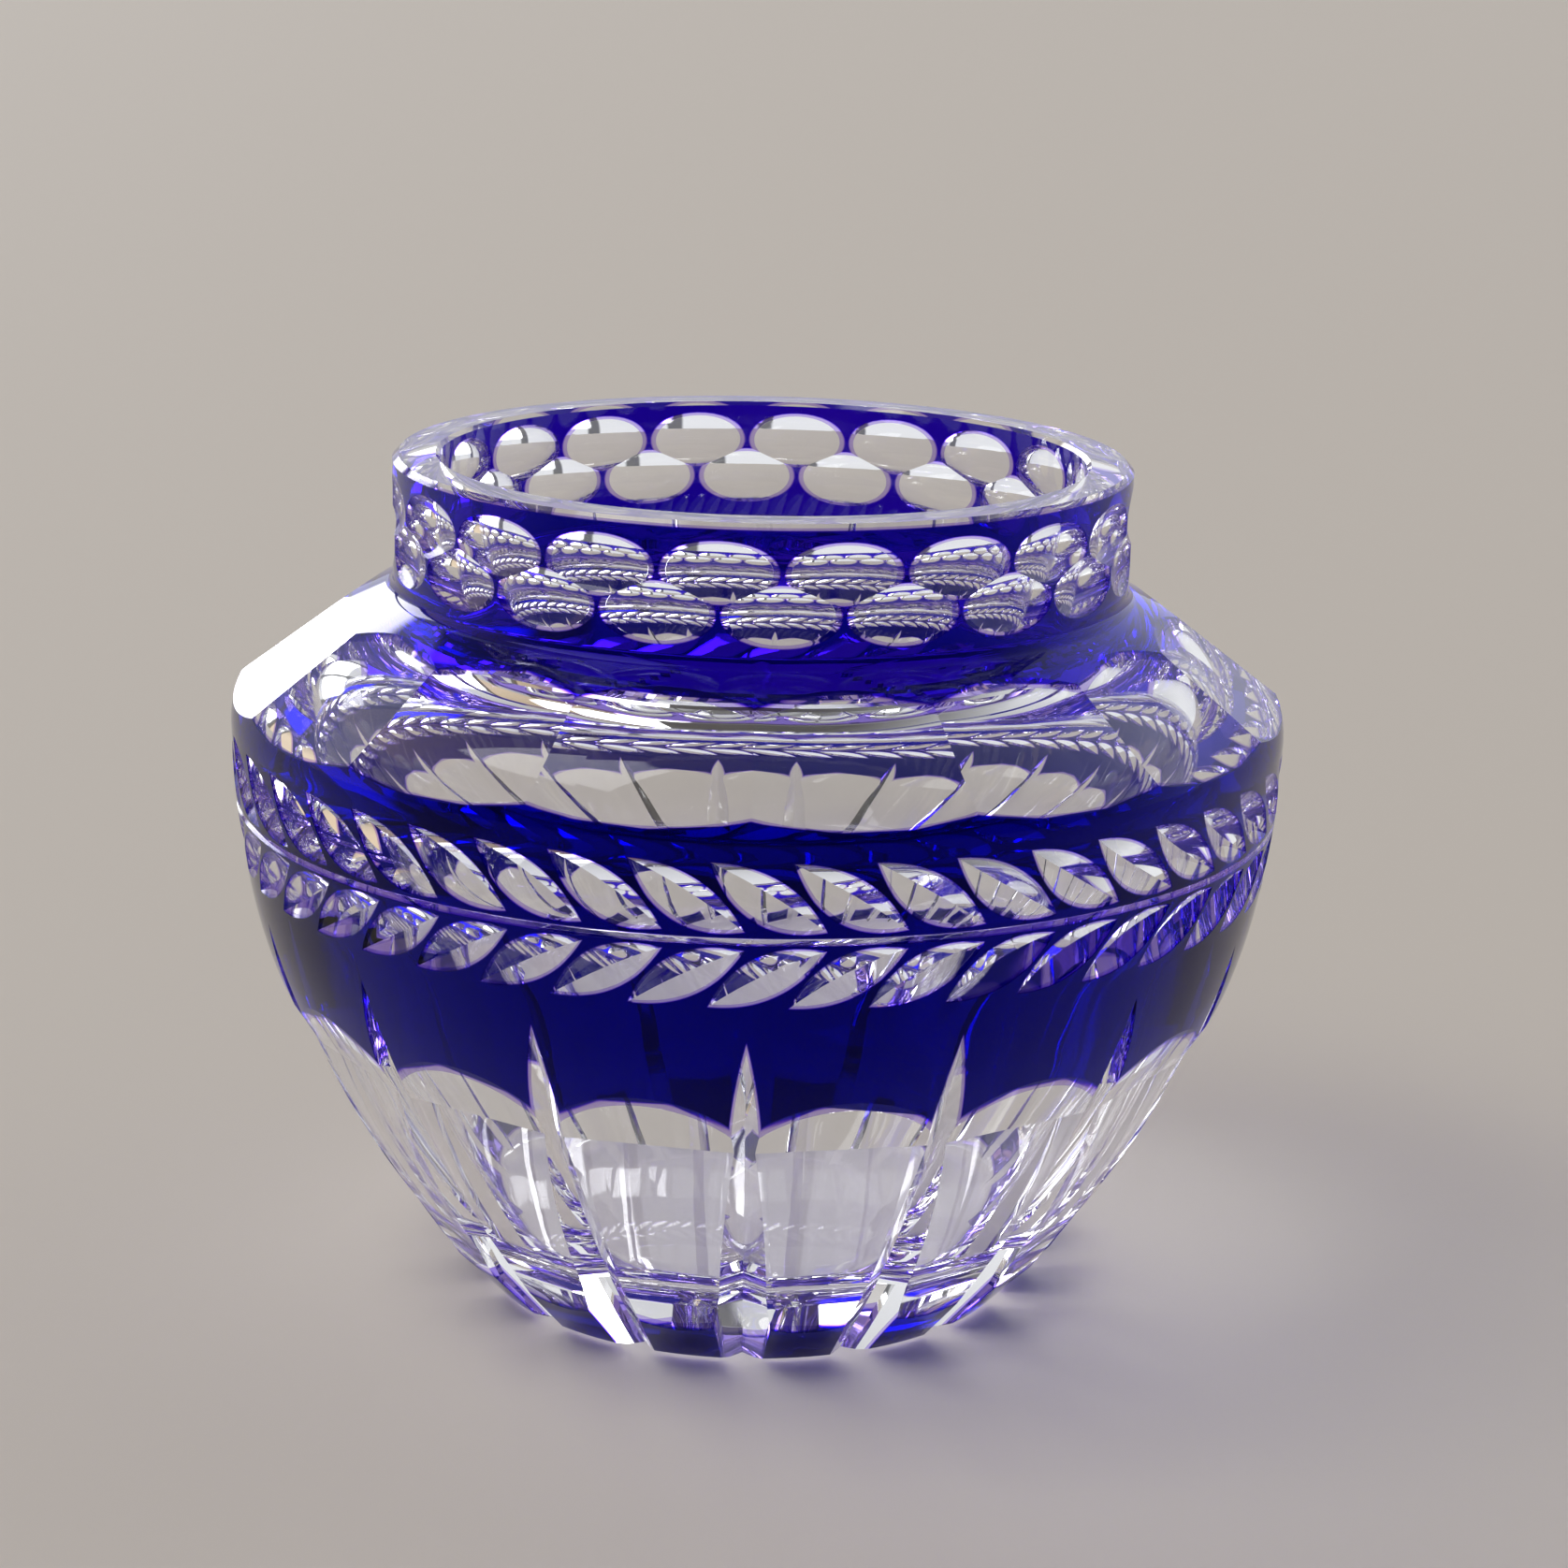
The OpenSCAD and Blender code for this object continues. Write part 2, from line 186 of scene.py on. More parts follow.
STEM_Z = BELLY_H - CLEAR - UPPER_RISE - STEM_GAP - STEM_W / 2
GARLAND_Z = STEM_Z - STEM_W / 2 - STEM_GAP - LOWER_RISE - OVER
FOOT_SPLIT_Z = (FOOT_BAND_Z + RIDGE_Z) / 2
WAIST_Z = (FOOT_SPLIT_Z + CREASE_Z) / 2
GIRDLE_P, STEM_P, GARLAND_P = vec(GIRDLE_R, BELLY_H), belly_p(STEM_Z), belly_p(GARLAND_Z)
UPPER_P, LOWER_P = belly_p((BELLY_H + STEM_Z) / 2), belly_p((STEM_Z + GARLAND_Z) / 2)
UPPER_N, LOWER_N = line_n(UPPER_P, GIRDLE_P), line_n(GARLAND_P, LOWER_P)
BALL_R = GARLAND_P.x / LOWER_N.x
BALL_C = GARLAND_P - BALL_R * LOWER_N
BALL_N = vec(math.sqrt(BALL_R ** 2 - (CREASE_Z - BALL_C.y) ** 2), CREASE_Z - BALL_C.y).normalized()
SHOULDER_C = GIRDLE_P - SHOULDER_R * UPPER_N
SHOULDER_N = vec(math.sin(SHOULDER_SLOPE), math.cos(SHOULDER_SLOPE))
SHOULDER_P = SHOULDER_C + SHOULDER_R * SHOULDER_N
COVE_X = RIM_R + COVE_R
COVE_Z = SHOULDER_P.y + (COVE_R - SHOULDER_N.x * (COVE_X - SHOULDER_P.x)) / SHOULDER_N.y
COVE_C = vec(COVE_X, COVE_Z)
RIM_Z = COVE_Z + NECK_H
UPPER_OVAL_Z = RIM_Z - UPPER_OVAL_DROP
LOWER_OVAL_Z = UPPER_OVAL_Z - OVAL_ROW_STEP
OVAL_SPLIT_Z = (UPPER_OVAL_Z + LOWER_OVAL_Z) / 2
FACET_MID_Z = BELLY_H + (FACET_FOOT + FACET_TOP) / 2


def shoulder_x(z):
    if z < SHOULDER_P.y:
        return SHOULDER_C.x + math.sqrt(SHOULDER_R ** 2 - (z - SHOULDER_C.y) ** 2)
    return SHOULDER_P.x - (z - SHOULDER_P.y) / math.tan(SHOULDER_SLOPE)


def arc(c, r, a, b, steps):
    """Points on a circle from angle a to angle b, both ends included."""
    turns = [a + (b - a) * k / steps for k in range(steps + 1)]
    return [vec(c.x + r * math.cos(t), c.y + r * math.sin(t)) for t in turns]


def angle(v):
    return math.atan2(v.y, v.x)


def outline(inset):
    """The vessel's side from below the base up to the rim, drawn in by inset."""
    foot, foot_top = sunk(0, inset), sunk(FOOT_SPLIT_Z, inset)
    side = [foot + (foot - foot_top).normalized() * OVER, foot_top, sunk(WAIST_Z, inset)]
    side += arc(BALL_C, BALL_R - inset, angle(BALL_N), angle(LOWER_N), BALL_STEPS)
    side.append(LOWER_P - inset * corner_n(GARLAND_P, LOWER_P, STEM_P))
    side.append(STEM_P - inset * corner_n(LOWER_P, STEM_P, UPPER_P))
    side.append(UPPER_P - inset * corner_n(STEM_P, UPPER_P, GIRDLE_P))
    side += arc(SHOULDER_C, SHOULDER_R - inset, angle(UPPER_N), angle(SHOULDER_N), SHOULDER_STEPS)
    side += arc(COVE_C, COVE_R + inset, angle(-SHOULDER_N), -math.pi, COVE_STEPS)
    side.append(vec(RIM_R - inset, RIM_Z))
    return side


def clip(side, p, n):
    """The part of an open line of points on the side of p that n points to."""
    kept = []
    for a, b in zip(side, side[1:]):
        da, db = (a - p).dot(n), (b - p).dot(n)
        if da >= 0:
            kept.append(a)
        if da * db < 0:
            kept.append(a + (b - a) * da / (da - db))
    if (side[-1] - p).dot(n) >= 0:
        kept.append(side[-1])
    return kept


def vessel_side(inset):
    """The vessel's side between the base bevel and the rim bevel, with a point at each end."""
    side = clip(outline(inset), vec(BASE_R - BASE_BEVEL, 0), vec(-BASE_SLOPE, 1).normalized())
    return clip(side, vec(RIM_R, RIM_Z - RIM_BEVEL), vec(-1, -1).normalized())


def meet(c, r, d, s):
    """Where two circles meet, on the right of the line from centre c to centre d."""
    along = (d - c).normalized()
    share = ((d - c).length_squared + r ** 2 - s ** 2) / (2 * (d - c).length)
    return c + along * share + across(along) * math.sqrt(r ** 2 - share ** 2)


def cavity_side():
    """The inside from the middle of its floor up to the lip, as arcs that run into each other."""
    neck_r, belly_r = RIM_R - WALL, BELLY_R - WALL
    dish = vec(0, FLOOR_T + HOLLOW_FLOOR_R)
    corner = meet(BELLY_C, belly_r - HOLLOW_CORNER_R, dish, HOLLOW_FLOOR_R - HOLLOW_CORNER_R)
    turn = math.asin((HOLLOW_SHOULDER_Z - BELLY_H) / belly_r)
    shoulder = BELLY_C + (belly_r - HOLLOW_SHOULDER_R) * vec(math.cos(turn), math.sin(turn))
    cove_x = neck_r + HOLLOW_COVE_R
    cove_rise = math.sqrt((HOLLOW_SHOULDER_R + HOLLOW_COVE_R) ** 2 - (cove_x - shoulder.x) ** 2)
    cove = vec(cove_x, shoulder.y + cove_rise)
    floor_end, wall_start = angle(corner - dish), angle(corner - BELLY_C)
    side = arc(dish, HOLLOW_FLOOR_R, -math.pi / 2, floor_end, FLOOR_STEPS)
    side += arc(corner, HOLLOW_CORNER_R, floor_end, wall_start, CORNER_STEPS)[1:]
    side += arc(BELLY_C, belly_r, wall_start, turn, WALL_STEPS)[1:]
    side += arc(shoulder, HOLLOW_SHOULDER_R, turn, angle(cove - shoulder), HOLLOW_SHOULDER_STEPS)[1:]
    side += arc(cove, HOLLOW_COVE_R, angle(shoulder - cove), -math.pi, HOLLOW_COVE_STEPS)[1:]
    return side + [vec(neck_r, RIM_Z - LIP_BEVEL), vec(neck_r + LIP_BEVEL, RIM_Z)]


class Shape:
    """A closed mesh in millimetres, with a material number for each face."""

    def __init__(self):
        self.verts = []
        self.faces = []
        self.mats = []

    def add(self, other, matrix):
        start = len(self.verts)
        self.verts += [matrix @ v for v in other.verts]
        self.faces += [[i + start for i in f] for f in other.faces]
        self.mats += other.mats
        return self


def revolve(loop, mats=None, turn=None, steps=ROUND, first=0.0):
    """Turns a closed loop of (x, z) points, anticlockwise, about the axis.

    mats has a material number for each side of the loop; without it all sides are open.
    """
    shape = Shape()
    mats = mats or [OPEN] * len(loop)
    full = turn is None
    rings = steps if full else steps + 1
    sweep = 2 * math.pi if full else turn
    number = []
    for j in range(rings):
        t = first + sweep * j / steps
        row = []
        for p in loop:
            if p.x < ON_AXIS and j:
                row.append(number[0][len(row)])
            else:
                row.append(len(shape.verts))
                shape.verts.append(Vector((p.x * math.cos(t), p.x * math.sin(t), p.y)))
        number.append(row)
    count = len(loop)
    for j in range(steps):
        one, two = number[j], number[(j + 1) % rings]
        for k in range(count):
            n = (k + 1) % count
            face = []
            for i in (one[k], two[k], two[n], one[n]):
                if i not in face:
                    face.append(i)
            if len(face) > 2:
                shape.faces.append(face)
                shape.mats.append(mats[k])
    if not full:
        shape.faces.append(list(number[0]))
        shape.faces.append(list(reversed(number[-1])))
        shape.mats += [mats[0], mats[0]]
    return shape


def extrude(loop, width):
    """Pulls a closed loop of (x, z) points, anticlockwise, along Y, half to each side."""
    shape = Shape()
    count = len(loop)
    for y in (-width / 2, width / 2):
        shape.verts += [Vector((p.x, y, p.y)) for p in loop]
    for k in range(count):
        n = (k + 1) % count
        shape.faces.append([k, k + count, n + count, n])
    shape.faces.append(list(range(count)))
    shape.faces.append(list(range(2 * count - 1, count - 1, -1)))
    shape.mats = [OPEN] * len(shape.faces)
    return shape


def spin(degrees):
    return Matrix.Rotation(math.radians(degrees), 4, "Z")


def shift(x, y, z):
    return Matrix.Translation((x, y, z))


# Each tool stands at the +X side, as the wheel that grinds that cut
def oval_tool(z):
    chord = 2 * RIM_R * math.sin(math.pi / OVALS) - OVAL_GAP
    neck_rise = RIM_R - math.sqrt(RIM_R ** 2 - chord ** 2 / 4)
    wheel_r = arc_r(chord, OVAL_DEPTH - neck_rise)
    edge_r = arc_r(OVAL_H, OVAL_DEPTH)
    reach = math.asin((chord + OVAL_GAP / 2) / 2 / wheel_r)
    half = math.acos(1 - (OVAL_DEPTH + OVER) / edge_r)
    loop = arc(vec(wheel_r - edge_r, 0), edge_r, -half, half, OVAL_EDGE_STEPS)
    wheel = revolve(loop, turn=2 * reach, steps=OVAL_STEPS, first=math.pi - reach)
    return Shape().add(wheel, shift(RIM_R - OVAL_DEPTH + wheel_r, 0, z))


def facet_tool():
    low, high = (vec(shoulder_x(BELLY_H + z), BELLY_H + z) for z in (FACET_FOOT, FACET_TOP))
    along = (high - low).normalized() * OVER
    lift = line_n(low, high) * FACET_TOOL_T
    width = 2 * GIRDLE_R * math.tan(math.pi / FACETS) + OVER
    return extrude([low - along, low - along + lift, high + along + lift, high + along], width)


def leaf_tool(rise, side):
    pitch = 2 * math.pi * GIRDLE_R / LEAVES
    run = LEAF_SPAN * pitch
    tilt = math.atan(rise / run)
    length = math.hypot(run, rise)
    nest = 1 - (pitch * math.cos(tilt) / length) ** 2
    width = (pitch * math.sin(tilt) - LEAF_GAP) / nest
    middle = belly_p(STEM_Z + side * (STEM_W / 2 + STEM_GAP + rise / 2))
    facing = belly_n(middle.y)
    bend = math.cos(tilt) ** 2 * facing.x / middle.x + math.sin(tilt) ** 2 / BELLY_R
    wheel_r = arc_r(length, LEAF_DEPTH - bend * length ** 2 / 8)
    reach = math.asin((length / 2 + CLEAR) / wheel_r)
    far_w = width + LEAF_GAP / 2
    edge_w = LEAF_DEPTH * far_w / width
    loop = [
        vec(wheel_r, 0),
        vec(wheel_r - edge_w, side * far_w * LEAF_SHARE),
        vec(wheel_r - edge_w, side * far_w * (LEAF_SHARE - 1)),
    ]
    if side < 0:
        loop = [loop[0], loop[2], loop[1]]
    wheel = revolve(loop, turn=2 * reach, steps=LEAF_STEPS, first=math.pi - reach)
    place = (
        shift(middle.x, 0, middle.y)
        @ Matrix.Rotation(-math.asin(facing.y), 4, "Y")
        @ Matrix.Rotation(-side * tilt, 4, "X")
        @ shift(wheel_r - LEAF_DEPTH, 0, 0)
    )
    return Shape().add(wheel, place)


def stem_tool():
    out = corner_n(LOWER_P, STEM_P, UPPER_P).normalized()
    edge_w = STEM_DEPTH + CLEAR
    side = across(out) * edge_w * STEM_W / 2 / STEM_DEPTH
    apex = STEM_P - STEM_DEPTH * out
    return revolve([apex, apex + out * edge_w + side, apex + out * edge_w - side])


def panel_tool():
    top, foot = belly_p(PANEL_TOP), belly_p(FOOT_BAND_Z)
    crease, ridge = sunk(CREASE_Z, CREASE_DEPTH), sunk(RIDGE_Z, RIDGE_DEPTH)
    out = line_n(foot, top) * PANEL_TOOL_T
    width = 2 * GIRDLE_R * math.tan(math.pi / PANELS)
    centre = arc_c(crease, ridge, PANEL_R)
    face = arc(centre, PANEL_R, angle(ridge - centre), angle(crease - centre), PANEL_STEPS)
    loop = [foot + (foot - ridge).normalized() * OVER, foot + out, top + out]
    loop += [top + (top - crease).normalized() * OVER] + list(reversed(face))
    return extrude(loop, width)


def mitre_tool():
    top, foot = belly_p(MITRE_TOP), sunk(0, MITRE_FOOT_DEPTH)
    centre = circle_c(top, sunk(CREASE_Z, MITRE_DEPTH), foot)
    valley_r = (top - centre).length
    top_a = math.asin((top.y - centre.y) / valley_r)
    foot_a = math.asin((foot.y - centre.y) / valley_r)
    edge_w = MITRE_DEPTH + MITRE_FOOT_DEPTH
    half_w = edge_w * math.tan(MITRE_ANGLE)
    spare = math.asin(2 * OVER / valley_r)
    loop = [vec(valley_r, 0), vec(valley_r + edge_w, -half_w), vec(valley_r + edge_w, half_w)]
    sweep = top_a - foot_a + 2 * spare
    wheel = revolve(loop, turn=sweep, steps=MITRE_STEPS, first=foot_a - spare)
    return Shape().add(wheel, shift(centre.x, 0, centre.y) @ Matrix.Rotation(math.pi / 2, 4, "X"))


def around(tool, count, phase=0.0, first=0, step=1):
    """Copies of a tool round the axis, the first one phase degrees from the front."""
    ring = Shape()
    for i in range(first, count, step):
        ring.add(tool, spin(phase - 90 + i * 360 / count))
    return ring


def cuts(names):
    """The cutting rings of the named zones, in the order that they are cut."""
    rings = []
    for name in names:
        if name == "ovals":
            rings.append(around(oval_tool(UPPER_OVAL_Z), OVALS, OVAL_PHASE + 180 / OVALS))
            rings.append(around(oval_tool(LOWER_OVAL_Z), OVALS, OVAL_PHASE))
        elif name == "facets":
            tool = facet_tool()
            rings += [around(tool, FACETS, 180 / FACETS, k, 2) for k in (0, 1)]
        elif name == "stem":
            rings.append(stem_tool())
        elif name == "upper leaves":
            rings.append(around(leaf_tool(UPPER_RISE, 1), LEAVES, LEAF_PHASE))
        elif name == "lower leaves":
            rings.append(around(leaf_tool(LOWER_RISE, -1), LEAVES, LEAF_PHASE))
        elif name == "panels":
            tool = panel_tool()
            rings += [around(tool, PANELS, 180 / PANELS, k, 2) for k in (0, 1)]
            rings.append(around(mitre_tool(), PANELS))
    return rings


def to_object(shape, name, materials):
    mesh = bpy.data.meshes.new(name)
    mesh.from_pydata([v * MM for v in shape.verts], [], shape.faces)
    for m in materials:
        mesh.materials.append(m)
    mesh.polygons.foreach_set("material_index", shape.mats)
    mesh.update()
    obj = bpy.data.objects.new(name, mesh)
    scene.collection.objects.link(obj)
    return obj


def cut(stock, rings, name, materials):
    """Cuts each ring into the stock in turn and returns the finished piece."""
    piece = to_object(stock, name, materials)
    for ring in rings:
        tool = to_object(ring, "tool", materials)
        change = piece.modifiers.new("cut", "BOOLEAN")
        change.operation = "DIFFERENCE"
        change.solver = "MANIFOLD"
        change.object = tool
        graph = bpy.context.evaluated_depsgraph_get()
        made = bpy.data.meshes.new_from_object(piece.evaluated_get(graph), depsgraph=graph)
        piece.modifiers.clear()
        old = piece.data
        piece.data = made
        bpy.data.meshes.remove(old)
        old = tool.data
        bpy.data.objects.remove(tool)
        bpy.data.meshes.remove(old)
    piece.data.name = name
    return piece


def body_stock():
    """The clear vessel: its side under the casing, the rim, the hollow and the base."""
    side = vessel_side(CASING + SEAM)
    inside = list(reversed(cavity_side()))
    rim = [vec(RIM_R - RIM_BEVEL, RIM_Z)]
    base = [vec(0, 0), vec(BASE_R - BASE_BEVEL, 0)]
    loop = side + rim + inside + base
    mats = [ALONG_SEAM] * (len(side) - 1) + [OPEN] * (len(loop) - len(side) + 1)
    return revolve(loop, mats)


def casing_stock(low, high):
    """A ring of the casing between two heights."""
    def part(inset):
        return clip(clip(vessel_side(inset), vec(0, low), vec(0, 1)), vec(0, high), vec(0, -1))

    outer, inner = part(0), list(reversed(part(CASING)))
    mats = [OPEN] * len(outer) + [ALONG_SEAM] * (len(inner) - 1) + [OPEN]
    return revolve(outer + inner, mats)


def smooth(piece):
    """Smooth shading that stops at the edges of the cuts."""
    mesh = piece.data
    mesh.shade_smooth()
    mesh.set_sharp_from_angle(angle=EDGE_ANGLE)


def mark_depth(piece):
    """Notes at each point how much of the casing's depth is left under it."""
    mesh = piece.data
    points = np.empty(len(mesh.vertices) * 3, np.float32)
    mesh.vertices.foreach_get("co", points)
    x, y, z = points.reshape(-1, 3).T / MM
    spots = np.stack([np.hypot(x, y), z], axis=1)
    nearest = np.full(len(spots), np.inf)
    side = vessel_side(0)
    for a, b in zip(side, side[1:]):
        start, along = np.array(a), np.array(b - a)
        share = np.clip((spots - start) @ along / (along @ along), 0, 1)
        nearest = np.minimum(nearest, np.linalg.norm(spots - start - share[:, None] * along, axis=1))
    mark = mesh.attributes.new(DEPTH, "FLOAT", "POINT")
    mark.data.foreach_set("value", np.clip(1 - nearest / CASING, 0, 1).astype(np.float32))


def loose_parts(piece):
    """Splits a piece into its separate islands."""
    bpy.ops.object.select_all(action="DESELECT")
    piece.select_set(True)
    bpy.context.view_layer.objects.active = piece
    bpy.ops.mesh.separate(type="LOOSE")
    return list(bpy.context.selected_objects)


def middle_of(corners):
    return (Vector(corners[0]) + Vector(corners[1])) / 2


def stand_for(piece, node, slot):
    piece.name = node + "_glass"
    piece.data.name = piece.name
    smooth(piece)
    if slot == "cobalt":
        mark_depth(piece)
    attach(piece, "root")
    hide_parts(node)


def glass(name):
    """Polished glass. Returns the material, its tree, its shader and the one that its shadow is made by."""
    mat = bpy.data.materials.new(name)
    mat.use_nodes = True
    tree = mat.node_tree
    tree.nodes.clear()
    out = tree.nodes.new("ShaderNodeOutputMaterial")
    mix = tree.nodes.new("ShaderNodeMixShader")
    path = tree.nodes.new("ShaderNodeLightPath")
    clear = tree.nodes.new("ShaderNodeBsdfTransparent")
    shader = tree.nodes.new("ShaderNodeBsdfPrincipled")
    shader.inputs["Roughness"].default_value = 0.0
    shader.inputs["IOR"].default_value = CRYSTAL_IOR
    shader.inputs["Transmission Weight"].default_value = 1.0
    place = tree.nodes.new("ShaderNodeTexCoord")
    wave = tree.nodes.new("ShaderNodeTexNoise")
    wave.inputs["Scale"].default_value = POLISH_SCALE
    wave.inputs["Detail"].default_value = POLISH_DETAIL
    bump = tree.nodes.new("ShaderNodeBump")
    bump.inputs["Strength"].default_value = POLISH_STRENGTH
    bump.inputs["Distance"].default_value = POLISH_HEIGHT
    tree.links.new(place.outputs["Object"], wave.inputs["Vector"])
    tree.links.new(wave.outputs["Fac"], bump.inputs["Height"])
    tree.links.new(bump.outputs["Normal"], shader.inputs["Normal"])
    tree.links.new(path.outputs["Is Shadow Ray"], mix.inputs["Fac"])
    tree.links.new(shader.outputs["BSDF"], mix.inputs[1])
    tree.links.new(clear.outputs["BSDF"], mix.inputs[2])
    tree.links.new(mix.outputs["Shader"], out.inputs["Surface"])
    return mat, tree, shader, clear


def crystal_material():
    mat, _, shader, clear = glass("crystal")
    shader.inputs["Base Color"].default_value = (*CRYSTAL, 1)
    clear.inputs["Color"].default_value = (*CRYSTAL_SHADOW, 1)
    return mat


def cobalt_material():
    """Deeper where more of the casing is left, and deeper at the belly as painted shade, darker than the
    backlit shoulder and neck.
    """
    mat, tree, shader, clear = glass("cobalt")

    def node(kind, **values):
        made = tree.nodes.new(kind)
        for name, value in values.items():
            made.inputs[name].default_value = value
        return made

    left = node("ShaderNodeAttribute")
    left.attribute_name = DEPTH
    place = node("ShaderNodeTexCoord")
    cloud = node("ShaderNodeTexNoise", Scale=CLOUD_SCALE, Detail=CLOUD_DETAIL)
    blown = node("ShaderNodeMapRange", **{
        "From Min": CLOUD_RANGE[0], "From Max": CLOUD_RANGE[1],
        "To Min": CLOUD_DEPTH[0], "To Max": CLOUD_DEPTH[1],
    })
    depth = node("ShaderNodeMath")
    depth.operation = "MULTIPLY"
    tree.links.new(place.outputs["Object"], cloud.inputs["Vector"])
    tree.links.new(cloud.outputs["Fac"], blown.inputs["Value"])
    # Painted shade: the colour is deepened towards the belly, darker than the backlit shoulder and neck
    height = node("ShaderNodeSeparateXYZ")
    belly_painted_shade = node("ShaderNodeMapRange", **{
        "From Min": BELLY_TOP, "From Max": NECK_FOOT, "To Min": BELLY_PAINTED_SHADE, "To Max": 1.0,
    })
    painted_shade_and_blown_depth = node("ShaderNodeMath")
    painted_shade_and_blown_depth.operation = "MULTIPLY"
    tree.links.new(place.outputs["Object"], height.inputs["Vector"])
    tree.links.new(height.outputs["Z"], belly_painted_shade.inputs["Value"])
    tree.links.new(belly_painted_shade.outputs["Result"], painted_shade_and_blown_depth.inputs[0])
    tree.links.new(blown.outputs["Result"], painted_shade_and_blown_depth.inputs[1])
    pale = node("ShaderNodeMath")
    pale.operation = "POWER"
    pale.inputs[1].default_value = EDGE_FADE
    tree.links.new(left.outputs["Fac"], pale.inputs[0])
    tree.links.new(pale.outputs["Value"], depth.inputs[0])
    tree.links.new(painted_shade_and_blown_depth.outputs["Value"], depth.inputs[1])
    once = node("ShaderNodeCombineXYZ")
    for socket, share in zip(once.inputs, COBALT):
        fade = node("ShaderNodeMath")
        fade.operation = "POWER"
        fade.inputs[0].default_value = share
        tree.links.new(depth.outputs["Value"], fade.inputs[1])
        tree.links.new(fade.outputs["Value"], socket)
    twice = node("ShaderNodeVectorMath")
    twice.operation = "MULTIPLY"
    tree.links.new(once.outputs["Vector"], twice.inputs[0])
    tree.links.new(once.outputs["Vector"], twice.inputs[1])
    # Painted reflection: the casing's outer faces reflect dimmed and tinted blue, standing in for a darker
    # room in front. A ray that is thrown back inside the glass crosses the casing twice
    inside = node("ShaderNodeNewGeometry")
    painted_outer_real_inner_tint = node("ShaderNodeMix")
    painted_outer_real_inner_tint.data_type = "RGBA"
    painted_outer_real_inner_tint.inputs[6].default_value = (*COBALT_PAINTED_REFLECTION, 1)
    tree.links.new(inside.outputs["Backfacing"], painted_outer_real_inner_tint.inputs["Factor"])
    tree.links.new(twice.outputs["Vector"], painted_outer_real_inner_tint.inputs[7])
    tree.links.new(painted_outer_real_inner_tint.outputs[2], shader.inputs["Specular Tint"])
    tree.links.new(twice.outputs["Vector"], shader.inputs["Base Color"])
    tree.links.new(once.outputs["Vector"], clear.inputs["Color"])
    return mat


def seam_material(name, colour):
    """Where glass is fused to glass: light is tinted but not bent."""
    mat = bpy.data.materials.new(name)
    mat.use_nodes = True
    tree = mat.node_tree
    tree.nodes.clear()
    out = tree.nodes.new("ShaderNodeOutputMaterial")
    clear = tree.nodes.new("ShaderNodeBsdfTransparent")
    clear.inputs["Color"].default_value = (*colour, 1)
    tree.links.new(clear.outputs["BSDF"], out.inputs["Surface"])
    return mat


crystal = [crystal_material(), seam_material("crystal_seam", (1, 1, 1))]
cobalt = [cobalt_material(), seam_material("cobalt_seam", COBALT_SEAM)]

# The pieces
ALL_CUTS = ["ovals", "facets", "stem", "upper leaves", "lower leaves", "panels"]
stand_for(cut(body_stock(), cuts(ALL_CUTS), "crystal_body", crystal), "crystal_body", "crystal")

CASING_RINGS = {
    "rim_overlay": (OVAL_SPLIT_Z, RIM_Z + OVER, ["ovals"]),
    "shoulder_overlay": (FACET_MID_Z, OVAL_SPLIT_Z, ["ovals", "facets"]),
    "upper_garland_overlay": (STEM_Z, FACET_MID_Z, ["facets", "stem", "upper leaves"]),
    "lower_garland_overlay": (CREASE_Z, STEM_Z, ["stem", "lower leaves", "panels"]),
}
for node, (low, high, names) in CASING_RINGS.items():
    stand_for(cut(casing_stock(low, high), cuts(names), node, cobalt), node, "cobalt")

feet = [n for n in frame["nodes"] if n.startswith("foot_overlay")]
for part in loose_parts(cut(casing_stock(-OVER, FOOT_SPLIT_Z), cuts(["panels"]), "foot", cobalt)):
    middle = middle_of((part.bound_box[0], part.bound_box[6]))
    node = min(feet, key=lambda n: (middle_of(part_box(n)) - middle).length)
    feet.remove(node)
    stand_for(part, node, "cobalt")


def plain_material(name, colour, roughness):
    mat = bpy.data.materials.new(name)
    mat.use_nodes = True
    shader = mat.node_tree.nodes["Principled BSDF"]
    shader.inputs["Base Color"].default_value = (*colour, 1)
    shader.inputs["Roughness"].default_value = roughness
    return mat


def floor():
    bpy.ops.mesh.primitive_circle_add(
        vertices=FLOOR_SIDES, radius=FLOOR_RADIUS, fill_type="NGON", location=(0, 0, -FLOOR_DROP)
    )
    disc = bpy.context.object
    disc.name = "floor"
    disc.data.materials.append(plain_material("floor", FLOOR_COLOUR, FLOOR_ROUGHNESS))


